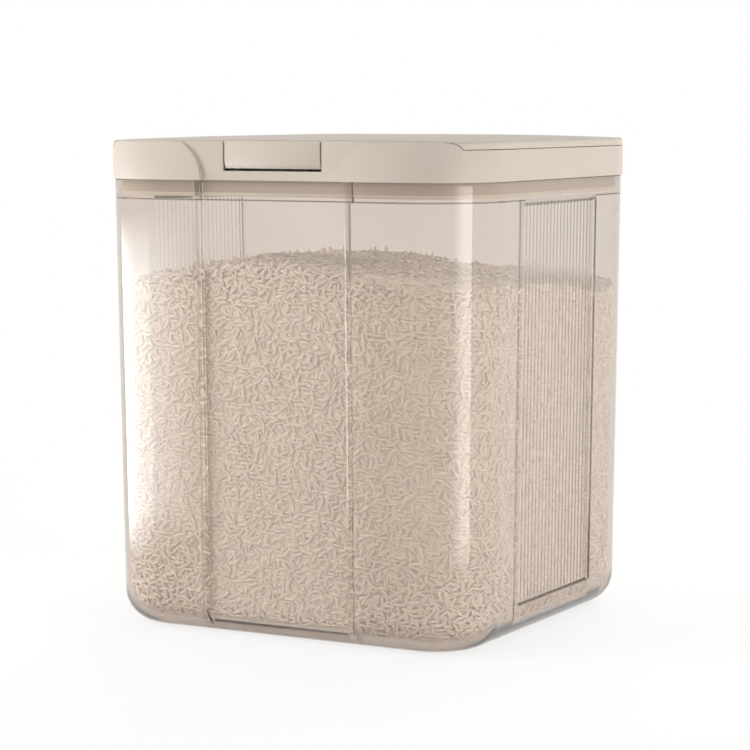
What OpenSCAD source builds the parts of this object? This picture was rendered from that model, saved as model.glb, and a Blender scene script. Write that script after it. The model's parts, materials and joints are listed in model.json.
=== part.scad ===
// Rice bin with a flip lid: a clear tapered body, a lid frame that lifts off, and a flip lid with a press button.
// Millimetres. X runs left to right, the front looks towards -Y and Z is up. The origin is the middle of the base.

/* [Lid outline] */
// Width across the lid
lid_w = 240; // [225:1:280]
// Depth of the lid from front to back
lid_d = 228; // [215:1:270]
// Radius of the lid's vertical corners
corner_r = 41; // [34:1:46]
// Height of the crown above the lid's edges
crown_h = 2.2; // [1:0.1:4]
// Radius of the lid's upper edge
edge_r = 1.8; // [1:0.1:2.4]
// Height of the flip lid's visible edge
plate_edge_h = 4.15; // [3.6:0.05:6]
// Visible joint between the lid's parts
seam_gap = 0.3; // [0.2:0.05:0.5]

/* [Body] */
// Height of the shoulder that the lid frame comes down to
body_h = 250.4; // [200:0.2:320]
// Height of the neck above the shoulder
neck_h = 4.8; // [4.4:0.2:6]
// How far each wall draws in from the shoulder to the base
taper = 3.6; // [1.5:0.1:6]
// How far the lid stands out past the body
overhang = 1; // [0.6:0.1:1.6]
// Thickness of the body's walls
wall = 2.8; // [2.2:0.1:3.2]
// Thickness of the neck
neck_wall = 1.8; // [1.4:0.1:2.2]
// Thickness of the body's floor
floor_t = 4; // [3:0.1:6]
// Radius of the body's bottom edge
foot_r = 18; // [12:0.5:22]
// Depth of the pocket under the base
foot_pocket = 1.2; // [0.6:0.1:2]
// Width of the ring that the body stands on
foot_ring_w = 9; // [6:0.5:14]

/* [Panels] */
// Width of the recessed front panel
recess_w = 87.6; // [76:0.4:100]
// Depth of the front panel in the body
body_recess_d = 3; // [2:0.1:3.4]
// Depth of the front panel in the lid frame
lid_recess_d = 2.5; // [1.8:0.1:3]
// Width of the slope at each side of the body's front panel
recess_slope = 2; // [0:0.2:3.6]
// Radius of the corner blocks' shoulders beside the front panel
shoulder_r = 24; // [22:0.5:30]
// Height of those shoulders
shoulder_h = 21.6; // [18:0.1:22]
// Thickness of the body behind its recessed panels
panel_wall = 2.4; // [2:0.1:2.8]
// Width of each fluted side panel
flute_w = 92; // [60:1:110]
// Number of flutes on each side
flute_count = 21; // [12:1:26]
// Depth of the side panels
flute_d = 1.8; // [1.4:0.1:3]
// How far the flutes stand out of their panel
flute_rise = 0.6; // [0.4:0.1:1.3]
// Width of the slope at each side of a side panel
panel_slope = 1.4; // [0:0.2:3]
// Height of the flutes' lower ends
flute_z = 21; // [20:1:60]
// Height over which a side panel's top edge slopes
panel_ramp = 3; // [2:0.5:6]
// Height over which a side panel's bottom edge slopes
panel_sill = 1.2; // [0.6:0.1:1.8]
// Distance from the shoulder to the side panels
panel_drop = 9.9; // [8:0.1:20]

/* [Lid frame] */
// Gap between the body's shoulder and the lid frame
skirt_gap = 0.6; // [0.3:0.1:1]
// Wall thickness of the lid frame
frame_wall = 2.1; // [1.8:0.1:2.4]
// Thickness of the frame's deck around the fill opening
deck_t = 2.4; // [2:0.1:3]
// Height of the frame's rails above the deck
rail_h = 2.45; // [2.2:0.05:3]
// Clear height between the neck's rim and the deck
deck_rise = 7.8; // [7.4:0.1:9]
// Flat width on top of the front bar
bar_flat = 6; // [5:0.1:7]
// Radius of the front bar's rear shoulder
bar_r = 8.5; // [8:0.1:9]
// Width of the fill opening
opening_w = 184.4; // [150:0.2:188]
// Distance from the lid's front face to the fill opening
opening_front = 36; // [36:0.5:60]
// Distance from the fill opening to the hinge axis
opening_rear = 19; // [17:0.5:40]
// Corner radius of the fill opening
opening_r = 24; // [16:0.5:34]

/* [Collar and seals] */
// Depth of the collar's plug below the neck's rim
plug_h = 10.8; // [9.4:0.1:18]
// Wall thickness of the collar
collar_wall = 1.8; // [1.5:0.1:2.2]
// Thickness of the collar's flange on the rim
flange_t = 2; // [1.4:0.1:2.4]
// Gap between the plug and the neck
plug_gap = 0.3; // [0.25:0.05:0.6]
// Height of the collar's gasket
collar_gasket_h = 2.1; // [1.6:0.1:4]
// Width of the collar's gasket
collar_gasket_w = 3.8; // [2.6:0.1:5]
// Width of the flip lid's gasket
lid_gasket_w = 6; // [4.5:0.1:7]
// Gap between the fill opening and the liner's ring
ring_gap = 1.5; // [1.2:0.1:2.5]
// Depth of the liner's ring below the flip lid
ring_h = 9; // [6:0.5:12]

/* [Button and latch] */
// Width of the press button
button_w = 59.4; // [56:0.2:62]
// Gap at each side of the button
button_side_gap = 1; // [0.6:0.1:1.5]
// Gap under the button
button_low_gap = 1.3; // [1.2:0.1:2.4]
// Height of the button's face
button_h = 14.8; // [13:0.1:16]
// Height of the bevel at the button's lower edge
bevel_h = 3.7; // [2:0.1:5]
// Depth of that bevel
bevel_d = 1.2; // [0.6:0.1:1.4]
// Wall thickness of the button
button_wall = 2; // [1.6:0.1:2.2]
// Radius of the button's pin
button_pin_r = 1; // [0.8:0.05:1.2]
// Angle that the button rocks through
button_turn = 8; // [6:0.5:8.5]
// How far the hook reaches over the striker
hook_reach = 1.6; // [1.2:0.1:1.7]
// Width of the hook and the striker
hook_w = 30; // [22:1:34]
// Distance between the two latch springs
latch_spring_gap = 24; // [18:1:40]
// Turns in each latch spring
latch_turns = 5; // [4:1:5]
// Mean radius of the latch springs
latch_coil_r = 2.1; // [1.9:0.1:2.4]
// Wire radius of the latch springs
latch_wire_r = 0.2; // [0.15:0.05:0.25]

/* [Hinge] */
// Distance from the lid's rear face to the hinge axis
hinge_inset = 13; // [12.5:0.1:16]
// Radius of the hinge barrel
barrel_r = 4.1; // [3.8:0.1:4.4]
// Distance from each side of the lid to the hinge barrel
barrel_inset = 22; // [20:1:30]
// Radius of the hinge pins
hinge_pin_r = 1.5; // [1.2:0.05:1.7]
// Running clearance around the pins
pin_gap = 0.06; // [0.03:0.01:0.09]
// Distance from the barrel's ends to each hinge's inner ear
ear_inset = 34; // [32:1:48]
// Thickness of the hinge ears
ear_t = 4; // [3:0.5:5]
// Room for the torsion spring between the ears
spring_bay = 16; // [14:0.5:18]
// Turns in each torsion spring
torsion_turns = 7; // [5:1:8]
// Wire radius of the torsion springs
torsion_wire_r = 0.4; // [0.3:0.05:0.45]
// Mean radius of the torsion springs
torsion_coil_r = 2.65; // [2.5:0.05:2.7]

/* [Screws] */
// Shank radius of the collar and housing screws
screw_r = 1.25; // [1:0.05:1.4]
// Head radius of those screws
screw_head_r = 2.5; // [2.2:0.1:2.7]
// Head height of those screws
screw_head_h = 1.5; // [1.2:0.1:1.7]
// Length of the collar screws
screw_len = 11; // [9:0.5:12]
// Shank radius of the striker's screws
small_screw_r = 1; // [0.8:0.05:1.1]

/* [Hidden] */
$fn = 48;
HULL_FN = 32;
// Overrun of cuts past the faces that they open
CUT = 1;
SLIVER = 0.02;

CLEAR = [0.86, 0.88, 0.88];
BEIGE = [0.87, 0.83, 0.77];
PALE = [0.94, 0.93, 0.90];
WHITE = [0.90, 0.90, 0.88];
STEEL = [0.66, 0.68, 0.70];

// Body outline
body_w = lid_w - 2 * overhang;
body_d = lid_d - 2 * overhang;
body_r = corner_r - overhang;
draft_angle = atan(taper / body_h);
front_y = -lid_d / 2;
rear_y = lid_d / 2;

// Levels, from the shoulder up
rim_z = body_h + neck_h;
skirt_z = body_h + skirt_gap;
deck_z = rim_z + deck_rise;
deck_top = deck_z + deck_t;
rail_z = deck_top + rail_h;
plate_z = rail_z + seam_gap;
top_z = plate_z + plate_edge_h;
flange_z = rim_z + flange_t;
collar_z = rim_z - plug_h;
collar_gasket_z = collar_z - collar_gasket_h;
neck_zone_z = collar_gasket_z - 1.6;
panel_top_z = min(body_h - panel_drop, neck_zone_z + 2.5);

// Neck
skirt_fit = 0.5;
neck_w = lid_w - 2 * (frame_wall + skirt_fit);
neck_d = lid_d - 2 * (frame_wall + skirt_fit);
neck_r = corner_r - frame_wall - skirt_fit;
neck_front_y = front_y + lid_recess_d + frame_wall + 0.3;

// Front panel of the lid frame: each block's shoulder is an arc that ends on the top face
flare_z = top_z - shoulder_h;
flare_w = recess_w + 2 * shoulder_r;
function flare_half(z) = flare_w / 2 - sqrt(pow(shoulder_r, 2) - pow(max(z - flare_z, 0), 2));
backing_z = flange_z + 0.4;
backing_low = flare_half(backing_z) + frame_wall;
backing_high = flare_half(top_z) + frame_wall;
notch_half = backing_low + 0.4;
panel_y = front_y + lid_recess_d;
backing_y = panel_y + frame_wall;

// Front bar
bar_arc_y = front_y + bar_flat;
bar_arc_z = top_z - bar_r;
bar_rear_y = bar_arc_y + bar_r;

// Hinge
barrel_w = lid_w - 2 * barrel_inset;
ear_x = barrel_w / 2 - ear_inset;
hinge_y = rear_y - hinge_inset;
hinge_z = top_z - barrel_r;
trough_r = barrel_r + 0.4;
trough_front = hinge_y - trough_r - frame_wall;
plate_rear = hinge_y - trough_r - 0.1;
ear_out = ear_x + ear_t + spring_bay;
ear_gap = 0.4;
pin_in = ear_x - 10;
pin_out = barrel_w / 2 - 0.8;

// Fill opening
opening_y0 = front_y + opening_front;
opening_y1 = hinge_y - opening_rear;
opening_d = opening_y1 - opening_y0;
opening_y = (opening_y0 + opening_y1) / 2;

// Flip lid
lid_skin = 2.3;
hollow_z = top_z - lid_skin;
plate_front = bar_arc_y + 4;
hollow_front = bar_rear_y + frame_wall;
hollow_rear = trough_front - 0.4;
plate_rim = 2.2;
crown_rim = 26;
liner_fit = 0.25;

// Button: rocks on a pin near the top, and its legs push the slider
pivot_y = bar_arc_y + 4;
pivot_z = bar_arc_z + 2.2;
leg_drop = 17;
heel_r = 1.5;
heel_y = pivot_y + 2;
heel_z = pivot_z - leg_drop;
button_z = top_z - button_h;
window_z = button_z - button_low_gap;
cheek_x = 26.2;
cheek_t = 3.2;
slider_y = heel_y + heel_r + 0.1;
slider_travel = leg_drop * button_turn * PI / 180;

// Latch slider and striker
slider_z = collar_z + collar_wall + 2.1;
arm_x = 24;
arm_w = 6;
arm_h = 4.9;
bar_y = slider_y + 6.9;
bar_t = 3;
bar_h = 10;
tower_z = deck_z - 1;
hook_z = tower_z - 2.9;
striker_t = 2;
striker_y = bar_arc_y + 9.4;
hook_tip_y = striker_y + striker_t + 0.4;
striker_nose_y = hook_tip_y + hook_reach;
striker_flange_t = 1.8;
striker_flange_d = 12.6;
striker_margin = 5;
striker_rear = striker_y + striker_flange_d;
striker_screw_y = striker_y + 7.6;
striker_screw_x = 14;
small_head_r = 2;
small_head_h = 1;

// Latch housing
guide_gap = 0.4;
guide_t = 1.8;
housing_half = arm_x + arm_w + guide_gap + guide_t;
housing_floor_t = 1.5;
housing_z = slider_z - 0.2 - housing_floor_t;
spring_len = 6.3;
spring_back_y = bar_y + bar_t + spring_len;
post_x = housing_half + 5.8;
post_y = bar_y + bar_t + 0.5;
post_z = slider_z + 5.9;
post_r = 3.4;
housing_screw_len = 8.5;
spring_z = slider_z + 7.9;

// Collar screws sit in the side, rear and front runs of the collar
rear_screw_run = 7;
front_screw_run = 14;
side_run = (opening_w / 2 + collar_wall + neck_w / 2 - neck_wall - plug_gap - collar_wall) / 2;
COLLAR_SCREWS = [
    for (x = [-1, 1], y = [-1, 1]) [x * side_run, opening_y + y * 0.32 * opening_d],
    for (x = [-1, 1]) [x * opening_w / 4, opening_y1 + rear_screw_run],
    for (x = [-1, 1]) [x * opening_w / 3, opening_y0 - front_screw_run]
];
screw_seat = 3.8;
screw_seat_t = 1.9;
screw_wall = 0.8;

// Outlines drawn from above
module rounded_rect(w, d, r) {
    square([w - 2 * r, d], center = true);
    square([w, d - 2 * r], center = true);
    for (x = [-1, 1], y = [-1, 1])
        translate([x * (w / 2 - r), y * (d / 2 - r)]) circle(r);
}

module lid_plan(inset = 0)
    rounded_rect(lid_w - 2 * inset, lid_d - 2 * inset, corner_r - inset);

// The neck's outside, drawn in by inset, with the notch that clears the frame's front panel
module neck_plan(inset = 0) difference() {
    rounded_rect(neck_w - 2 * inset, neck_d - 2 * inset, neck_r - inset);
    translate([-notch_half - inset, front_y]) square([2 * (notch_half + inset), neck_front_y + inset - front_y]);
}

module opening_plan(grow = 0)
    translate([0, opening_y]) rounded_rect(opening_w + 2 * grow, opening_d + 2 * grow, opening_r + grow);

// Solids from outlines
module slab(z0, z1) translate([0, 0, z0]) linear_extrude(z1 - z0) children();

module box(low, high) translate(low) cube(high - low);

// Children are drawn in Y and Z
module along_x(x0, x1) translate([x0, 0, 0]) rotate([90, 0, 90]) linear_extrude(x1 - x0) children();

// Children are drawn in X and Z
module along_y(y0, y1) translate([0, y1, 0]) rotate([90, 0, 0]) linear_extrude(y1 - y0) children();

module both_sides() {
    children();
    mirror([1, 0, 0]) children();
}

module rod_x(x0, x1, y, z, r) translate([x0, y, z]) rotate([0, 90, 0]) cylinder(r = r, h = x1 - x0);

module rod_y(y0, y1, x, z, r) translate([x, y0, z]) rotate([-90, 0, 0]) cylinder(r = r, h = y1 - y0);

// An unbroken round wire along a list of points
WIRE_SIDES = 6;
function unit(v) = v / norm(v);
function heading(path, i) = unit(path[min(i + 1, len(path) - 1)] - path[max(i - 1, 0)]);
function wire_ring(path, i, r, side) =
    let (t = heading(path, i), u = unit(cross(t, side)), v = cross(t, u))
    [for (k = [0:WIRE_SIDES - 1]) path[i] + r * (cos(360 * k / WIRE_SIDES) * u + sin(360 * k / WIRE_SIDES) * v)];

// side is a direction that no stretch of the path runs along
module wire(path, r, side) {
    rings = len(path);
    points = [for (i = [0:rings - 1]) each wire_ring(path, i, r, side)];
    skin = [
        for (i = [0:rings - 2], k = [0:WIRE_SIDES - 1])
        let (a = i * WIRE_SIDES + k, b = i * WIRE_SIDES + (k + 1) % WIRE_SIDES)
        each [[a, b, b + WIRE_SIDES], [a, b + WIRE_SIDES, a + WIRE_SIDES]]
    ];
    first = [for (k = [1:WIRE_SIDES - 2]) [0, k + 1, k]];
    last_ring = (rings - 1) * WIRE_SIDES;
    last = [for (k = [1:WIRE_SIDES - 2]) [last_ring, last_ring + k, last_ring + k + 1]];
    polyhedron(points, concat(skin, first, last));
}

// Least distance between wire centres that lie at least half a turn apart, less the wire's own thickness
function self_gap(path, r, apart) =
    min([for (i = [0:len(path) - 1], j = [i + apart:1:len(path) - 1]) norm(path[i] - path[j])]) - 2 * r;

RINGS_PER_TURN = 8;

// Clear body
function drawn_in(z) = taper * (1 - z / body_h);

module body_slice(z, inset)
    translate([0, 0, z]) linear_extrude(SLIVER)
        rounded_rect(body_w - 2 * inset, body_d - 2 * inset, body_r - inset, $fn = HULL_FN);

// A tapered form with a rounded bottom edge
module tapered_form(bottom, top, edge_r, inset) hull() {
    for (a = [0:18:90])
        let (z = bottom + edge_r * (1 - cos(a)))
        body_slice(z, inset + edge_r * (1 - sin(a)) + drawn_in(z));
    body_slice(top - SLIVER, inset + drawn_in(top));
}

module on_front_wall() translate([0, taper - body_d / 2, 0]) rotate([draft_angle, 0, 0]) children();

module on_side_wall() translate([body_w / 2 - taper, 0, 0]) rotate([0, draft_angle, 0]) children();

// A recess in plan that is depth deep and half wide on each side, with sloping sides that go on past the wall
module sloped_recess(half, depth, slope) {
    wide = half + slope * (1 + 10 / depth);
    polygon([[-half, depth], [half, depth], [wide, -10], [-wide, -10]]);
}

module side_panel_cut() on_side_wall() intersection() {
    along_y(-flute_w, flute_w) polygon([
        [-flute_d, flute_z], [0, flute_z - panel_sill], [10, flute_z - panel_sill],
        [10, panel_top_z], [0, panel_top_z], [-flute_d, panel_top_z - panel_ramp]
    ]);
    slab(0, body_h) rotate(90) sloped_recess(flute_w / 2, flute_d, panel_slope);
}

FLUTE_STEPS = 6;
module flutes() {
    pitch = flute_w / flute_count;
    wave = [
        for (i = [0:flute_count * FLUTE_STEPS])
        [flute_rise * abs(sin(180 * i / FLUTE_STEPS)) - flute_d, i * pitch / FLUTE_STEPS - flute_w / 2]
    ];
    root = -flute_d - 0.6;
    on_side_wall() slab(flute_z - 0.2, panel_top_z - 0.4)
        polygon(concat([[root, -flute_w / 2]], wave, [[root, flute_w / 2]]));
}

module container() color(CLEAR) {
    half = recess_w / 2;
    difference() {
        union() {
            difference() {
                tapered_form(0, body_h, foot_r, 0);
                on_front_wall() slab(-10, body_h + 2) sloped_recess(half, body_recess_d, recess_slope);
                both_sides() side_panel_cut();
            }
            both_sides() flutes();
            slab(body_h - CUT, rim_z) neck_plan();
        }
        difference() {
            tapered_form(floor_t, neck_zone_z + SLIVER, foot_r - wall, wall);
            on_front_wall() box([-half - panel_wall, -10, -10], [half + panel_wall, body_recess_d + panel_wall, body_h]);
            both_sides() on_side_wall()
                box([-flute_d - panel_wall, -flute_w / 2 - panel_wall, -10], [10, flute_w / 2 + panel_wall, body_h]);
        }
        slab(neck_zone_z, rim_z + CUT) neck_plan(neck_wall);
        slab(-CUT, foot_pocket)
            rounded_rect(
                body_w - 2 * (taper + foot_r + foot_ring_w),
                body_d - 2 * (taper + foot_r + foot_ring_w),
                body_r - taper - foot_r / 2 - foot_ring_w / 2
            );
    }
}

// Lid frame
module lid_slice(z, inset)
    translate([0, 0, z]) linear_extrude(SLIVER)
        rounded_rect(lid_w - 2 * inset, lid_d - 2 * inset, max(corner_r - inset, 10));

// The lid's outline, from z0 up to its rounded upper edge
module edged_form(z0) hull() {
    lid_slice(z0, 0);
    for (a = [0:22.5:90]) lid_slice(top_z - SLIVER - edge_r * (1 - sin(a)), edge_r * (1 - cos(a)));
}

module bar_profile(grow = 0) {
    translate([front_y - CUT, skirt_z]) square([bar_flat + CUT, top_z + grow - skirt_z]);
    intersection() {
        translate([bar_arc_y, bar_arc_z]) circle(bar_r + grow);
        translate([front_y, bar_arc_z]) square([bar_flat + bar_r + 5, bar_r + 5]);
    }
}

module frame_profile() {
    bar_profile();
    translate([front_y - CUT, skirt_z]) square([lid_d + 2 * CUT, rail_z - skirt_z]);
}

module front_panel_shape() {
    translate([-recess_w / 2, skirt_z - CUT]) square([recess_w, flare_z - skirt_z + 2 * CUT]);
    difference() {
        translate([-flare_w / 2, flare_z]) square([flare_w, shoulder_r + CUT]);
        for (s = [-1, 1]) translate([s * flare_w / 2, flare_z]) circle(shoulder_r);
    }
}

module front_backing() {
    box([-backing_low, front_y - CUT, skirt_z - 2 * CUT], [backing_low, backing_y, backing_z]);
    box([-backing_high, front_y - CUT, backing_z], [backing_high, backing_y, top_z + CUT]);
}

module frame_hollow() difference() {
    union() {
        slab(skirt_z - CUT, deck_z) lid_plan(frame_wall);
        intersection() {
            slab(skirt_z, top_z) lid_plan(frame_wall);
            along_x(-lid_w / 2, lid_w / 2) bar_profile(-frame_wall);
        }
    }
    front_backing();
}

module frame_tray() difference() {
    slab(deck_top, top_z + CUT) lid_plan(frame_wall);
    along_x(-lid_w / 2, lid_w / 2) bar_profile();
    box([-lid_w / 2, trough_front, deck_top - CUT], [lid_w / 2, rear_y, top_z + 2 * CUT]);
}

module hinge_trough() along_x(-barrel_w / 2 - 2.5, barrel_w / 2 + 2.5) intersection() {
    translate([hinge_y, hinge_z]) circle(trough_r + frame_wall);
    translate([hinge_y - trough_r - frame_wall, hinge_z - trough_r - frame_wall])
        square([2 * (trough_r + frame_wall), trough_r + frame_wall + rail_z - hinge_z]);
}

module hinge_ear(x) {
    rod_x(x, x + ear_t, hinge_y, hinge_z, barrel_r);
    box([x, hinge_y - 3.4, hinge_z - trough_r - 0.6], [x + ear_t, hinge_y + 3.4, hinge_z]);
}

module button_ear(x) along_x(x, x + 2.4) intersection() {
    bar_profile();
    translate([backing_y - 0.4, rim_z + 1.8]) square([bar_rear_y - backing_y, top_z - rim_z]);
}

module collar_posts() for (p = COLLAR_SCREWS)
    translate([p[0], p[1], collar_z + screw_seat]) cylinder(r = screw_head_r + screw_wall, h = deck_z - collar_z - screw_seat + CUT);

module lid_frame() color(BEIGE) difference() {
    union() {
        difference() {
            intersection() {
                edged_form(skirt_z);
                along_x(-lid_w / 2, lid_w / 2) frame_profile();
            }
            frame_hollow();
            frame_tray();
            along_y(front_y - CUT, panel_y) front_panel_shape();
            box([-button_w / 2 - button_side_gap, front_y - CUT, window_z],
                [button_w / 2 + button_side_gap, bar_rear_y + 0.1, top_z + CUT]);
            box([-hook_w / 2 - 9, bar_rear_y, deck_z - CUT], [hook_w / 2 + 9, striker_rear + 1, deck_top + CUT]);
        }
        hinge_trough();
        both_sides() button_ear(button_w / 2 + button_side_gap);
        collar_posts();
        both_sides() translate([post_x, post_y, post_z]) cylinder(r = post_r, h = deck_z - post_z + CUT);
    }
    difference() {
        rod_x(-barrel_w / 2 - 0.5, barrel_w / 2 + 0.5, hinge_y, hinge_z, trough_r);
        both_sides() {
            hinge_ear(ear_x);
            hinge_ear(ear_out);
        }
    }
    slab(skirt_z, top_z) opening_plan();
    both_sides() {
        rod_x(pin_in - CUT, pin_out, hinge_y, hinge_z, hinge_pin_r);
        rod_x(button_w / 2, button_w / 2 + 5, pivot_y, pivot_z, button_pin_r);
        rod_y(hinge_y, hinge_y + 7, torsion_x0(), hinge_z - torsion_coil_r, torsion_wire_r + 0.15);
        translate([post_x, post_y, post_z - CUT]) cylinder(r = screw_r, h = 8);
    }
    for (p = COLLAR_SCREWS) translate([p[0], p[1], collar_z]) cylinder(r = screw_r, h = screw_seat_t + screw_len + 1);
}

// Collar that closes the frame from below and plugs into the neck
module inner_collar() color(BEIGE) difference() {
    union() {
        difference() {
            union() {
                slab(collar_z, rim_z) neck_plan(neck_wall + plug_gap);
                slab(rim_z, flange_z) neck_plan(0.4);
            }
            difference() {
                slab(collar_z + collar_wall, flange_z + CUT) neck_plan(neck_wall + plug_gap + collar_wall);
                slab(collar_z, deck_z + CUT) opening_plan(collar_wall);
            }
            box([-button_w / 2 - 4, front_y, rim_z], [button_w / 2 + 4, pivot_y + 2, flange_z + CUT]);
        }
        slab(collar_z, deck_z) opening_plan(collar_wall);
        for (p = COLLAR_SCREWS) translate([p[0], p[1], collar_z]) cylinder(r = screw_head_r + screw_wall, h = screw_seat);
        slab(collar_gasket_z + 0.4, collar_z) difference() {
            neck_plan(neck_wall + plug_gap + collar_gasket_w);
            neck_plan(neck_wall + plug_gap + collar_gasket_w + 1.5);
        }
    }
    slab(collar_gasket_z, deck_z + CUT) opening_plan();
    for (p = COLLAR_SCREWS) translate([p[0], p[1], collar_z - CUT]) {
        cylinder(r = screw_r + 0.3, h = screw_seat + 2 * CUT);
        cylinder(r = screw_head_r + 0.2, h = CUT + screw_seat_t);
    }
}

module collar_gasket() color(PALE) difference() {
    union() {
        slab(collar_gasket_z + 0.8, collar_z) neck_plan(neck_wall + plug_gap);
        slab(collar_gasket_z, collar_z) neck_plan(neck_wall + plug_gap + 0.7);
    }
    slab(collar_gasket_z - CUT, collar_z + CUT) neck_plan(neck_wall + plug_gap + collar_gasket_w);
}

// A screw that points up, with its head's upper face at z
module screw(x, y, z, shank_r, head_r, head_h, length) translate([x, y, z]) {
    difference() {
        translate([0, 0, -head_h]) cylinder(r = head_r, h = head_h);
        for (a = [0, 90]) rotate(a) box([-head_r * 0.6, -0.3, -head_h - CUT], [head_r * 0.6, 0.3, -head_h * 0.4]);
    }
    cylinder(r = shank_r, h = length - shank_r);
    translate([0, 0, length - shank_r]) cylinder(r1 = shank_r, r2 = 0.2, h = shank_r);
}

module collar_screws() color(STEEL) for (p = COLLAR_SCREWS)
    screw(p[0], p[1], collar_z + screw_seat_t, screw_r, screw_head_r, screw_head_h, screw_len);

// Flip lid
module lid_dome() hull() {
    edged_form(plate_z);
    for (s = [0.25, 0.5, 0.75]) lid_slice(top_z + crown_h * (1 - pow(1 - s, 2)) - SLIVER, edge_r + s * 0.36 * lid_d);
    lid_slice(top_z + crown_h - SLIVER, 0.38 * lid_d);
}

module hinge_barrel(x0, x1) {
    rod_x(x0, x1, hinge_y, hinge_z, barrel_r);
    box([x0, plate_rear - 0.5, hinge_z], [x1, hinge_y, top_z]);
}

module flip_lid_shell() color(BEIGE) difference() {
    union() {
        intersection() {
            lid_dome();
            box([-lid_w / 2, plate_front, plate_z], [lid_w / 2, plate_rear, top_z + crown_h]);
        }
        hinge_barrel(-ear_x + ear_gap, ear_x - ear_gap);
        both_sides() hinge_barrel(ear_out + ear_t + ear_gap, barrel_w / 2);
    }
    along_x(-lid_w / 2, lid_w / 2) bar_profile(seam_gap + 0.05);
    intersection() {
        slab(plate_z - CUT, hollow_z) lid_plan(plate_rim);
        box([-lid_w / 2, hollow_front, plate_z - CUT], [lid_w / 2, hollow_rear, hollow_z]);
    }
    intersection() {
        translate([0, 0, -lid_skin]) lid_dome();
        slab(plate_z - CUT, top_z + crown_h) lid_plan(crown_rim);
    }
    both_sides() {
        rod_x(pin_in - 0.5, pin_out + 0.3, hinge_y, hinge_z, hinge_pin_r + pin_gap);
        rod_y(hollow_rear - 1.2, plate_rear + CUT, torsion_x1(), hinge_z + torsion_coil_r, torsion_wire_r + 0.15);
    }
}

module flip_lid_liner() color(BEIGE) difference() {
    union() {
        intersection() {
            slab(plate_z, hollow_z) lid_plan(plate_rim + liner_fit);
            box([-lid_w / 2, hollow_front + liner_fit, plate_z], [lid_w / 2, hollow_rear - liner_fit, hollow_z]);
        }
        slab(plate_z - ring_h, plate_z) difference() {
            opening_plan(-ring_gap);
            opening_plan(-ring_gap - collar_wall);
        }
    }
    for (s = [-1, 1]) translate([s * striker_screw_x, striker_screw_y, plate_z - CUT]) {
        cylinder(r = small_screw_r + 0.2, h = hollow_z - plate_z + 2 * CUT);
        translate([0, 0, CUT + hollow_z - plate_z - small_head_h - 0.1]) cylinder(r = small_head_r + 0.3, h = 2 * CUT);
    }
}

module flip_lid_gasket() color(PALE) difference() {
    union() {
        slab(plate_z - 1.2, plate_z) opening_plan(lid_gasket_w - ring_gap);
        slab(deck_top + 0.1, plate_z) difference() {
            opening_plan(lid_gasket_w - ring_gap - 0.8);
            opening_plan(lid_gasket_w - ring_gap - 2.4);
        }
    }
    slab(deck_top - CUT, plate_z + CUT) opening_plan(0.1 - ring_gap);
}

module lid_striker() color(WHITE) difference() {
    union() {
        box([-hook_w / 2 - striker_margin, striker_y, plate_z - striker_flange_t],
            [hook_w / 2 + striker_margin, striker_rear, plate_z]);
        along_x(-hook_w / 2, hook_w / 2) polygon([
            [striker_y, plate_z - 1],
            [striker_y, hook_z - 3.3],
            [striker_y + 1.4, hook_z - 3.3],
            [striker_nose_y, hook_z - 1.3],
            [striker_nose_y, hook_z - 0.3],
            [striker_y + striker_t, hook_z - 0.3],
            [striker_y + striker_t, plate_z - 1]
        ]);
        for (s = [-1, 1]) translate([s * striker_screw_x, striker_screw_y, tower_z + 0.6])
            cylinder(r = 2.6, h = plate_z - tower_z - 0.6);
    }
    for (s = [-1, 1]) translate([s * striker_screw_x, striker_screw_y, tower_z + 1.2])
        cylinder(r = small_screw_r, h = plate_z - tower_z);
}

module striker_screws() color(STEEL) for (s = [-1, 1])
    translate([s * striker_screw_x, striker_screw_y, hollow_z - small_head_h - 0.1]) mirror([0, 0, 1])
        screw(0, 0, 0, small_screw_r, small_head_r, small_head_h, hollow_z - tower_z - 3);

// Press button
module button_skin() difference() {
    intersection() {
        bar_profile();
        translate([panel_y, button_z]) square([pivot_y + 2.6 - panel_y, button_h]);
    }
    intersection() {
        bar_profile(-button_wall);
        translate([panel_y + button_wall, button_z - CUT]) square([bar_flat + bar_r, button_h + 2 * CUT]);
    }
    polygon([[panel_y - CUT, button_z + bevel_h], [panel_y, button_z + bevel_h],
        [panel_y + bevel_d, button_z], [panel_y + bevel_d, button_z - CUT], [panel_y - CUT, button_z - CUT]]);
}

module button_cheek() {
    intersection() {
        bar_profile(-button_wall / 2);
        translate([panel_y + button_wall / 2, button_z + bevel_h]) square([pivot_y + 2.6 - panel_y - button_wall / 2, button_h]);
    }
    translate([pivot_y, pivot_z]) circle(2.6);
    polygon([[pivot_y - 1.2, pivot_z], [pivot_y + 1.8, pivot_z], [heel_y + 1.4, heel_z], [heel_y - 1.4, heel_z]]);
    translate([heel_y, heel_z]) circle(heel_r);
}

module press_button() color(BEIGE) difference() {
    union() {
        along_x(-button_w / 2, button_w / 2) button_skin();
        both_sides() along_x(cheek_x, cheek_x + cheek_t) button_cheek();
    }
    both_sides() rod_x(cheek_x - CUT, cheek_x + cheek_t + CUT, pivot_y, pivot_z, button_pin_r + pin_gap);
}

module button_pin() color(STEEL) {
    end = button_w / 2 + button_side_gap + 2.2;
    rod_x(-end, end, pivot_y, pivot_z, button_pin_r);
}

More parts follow.
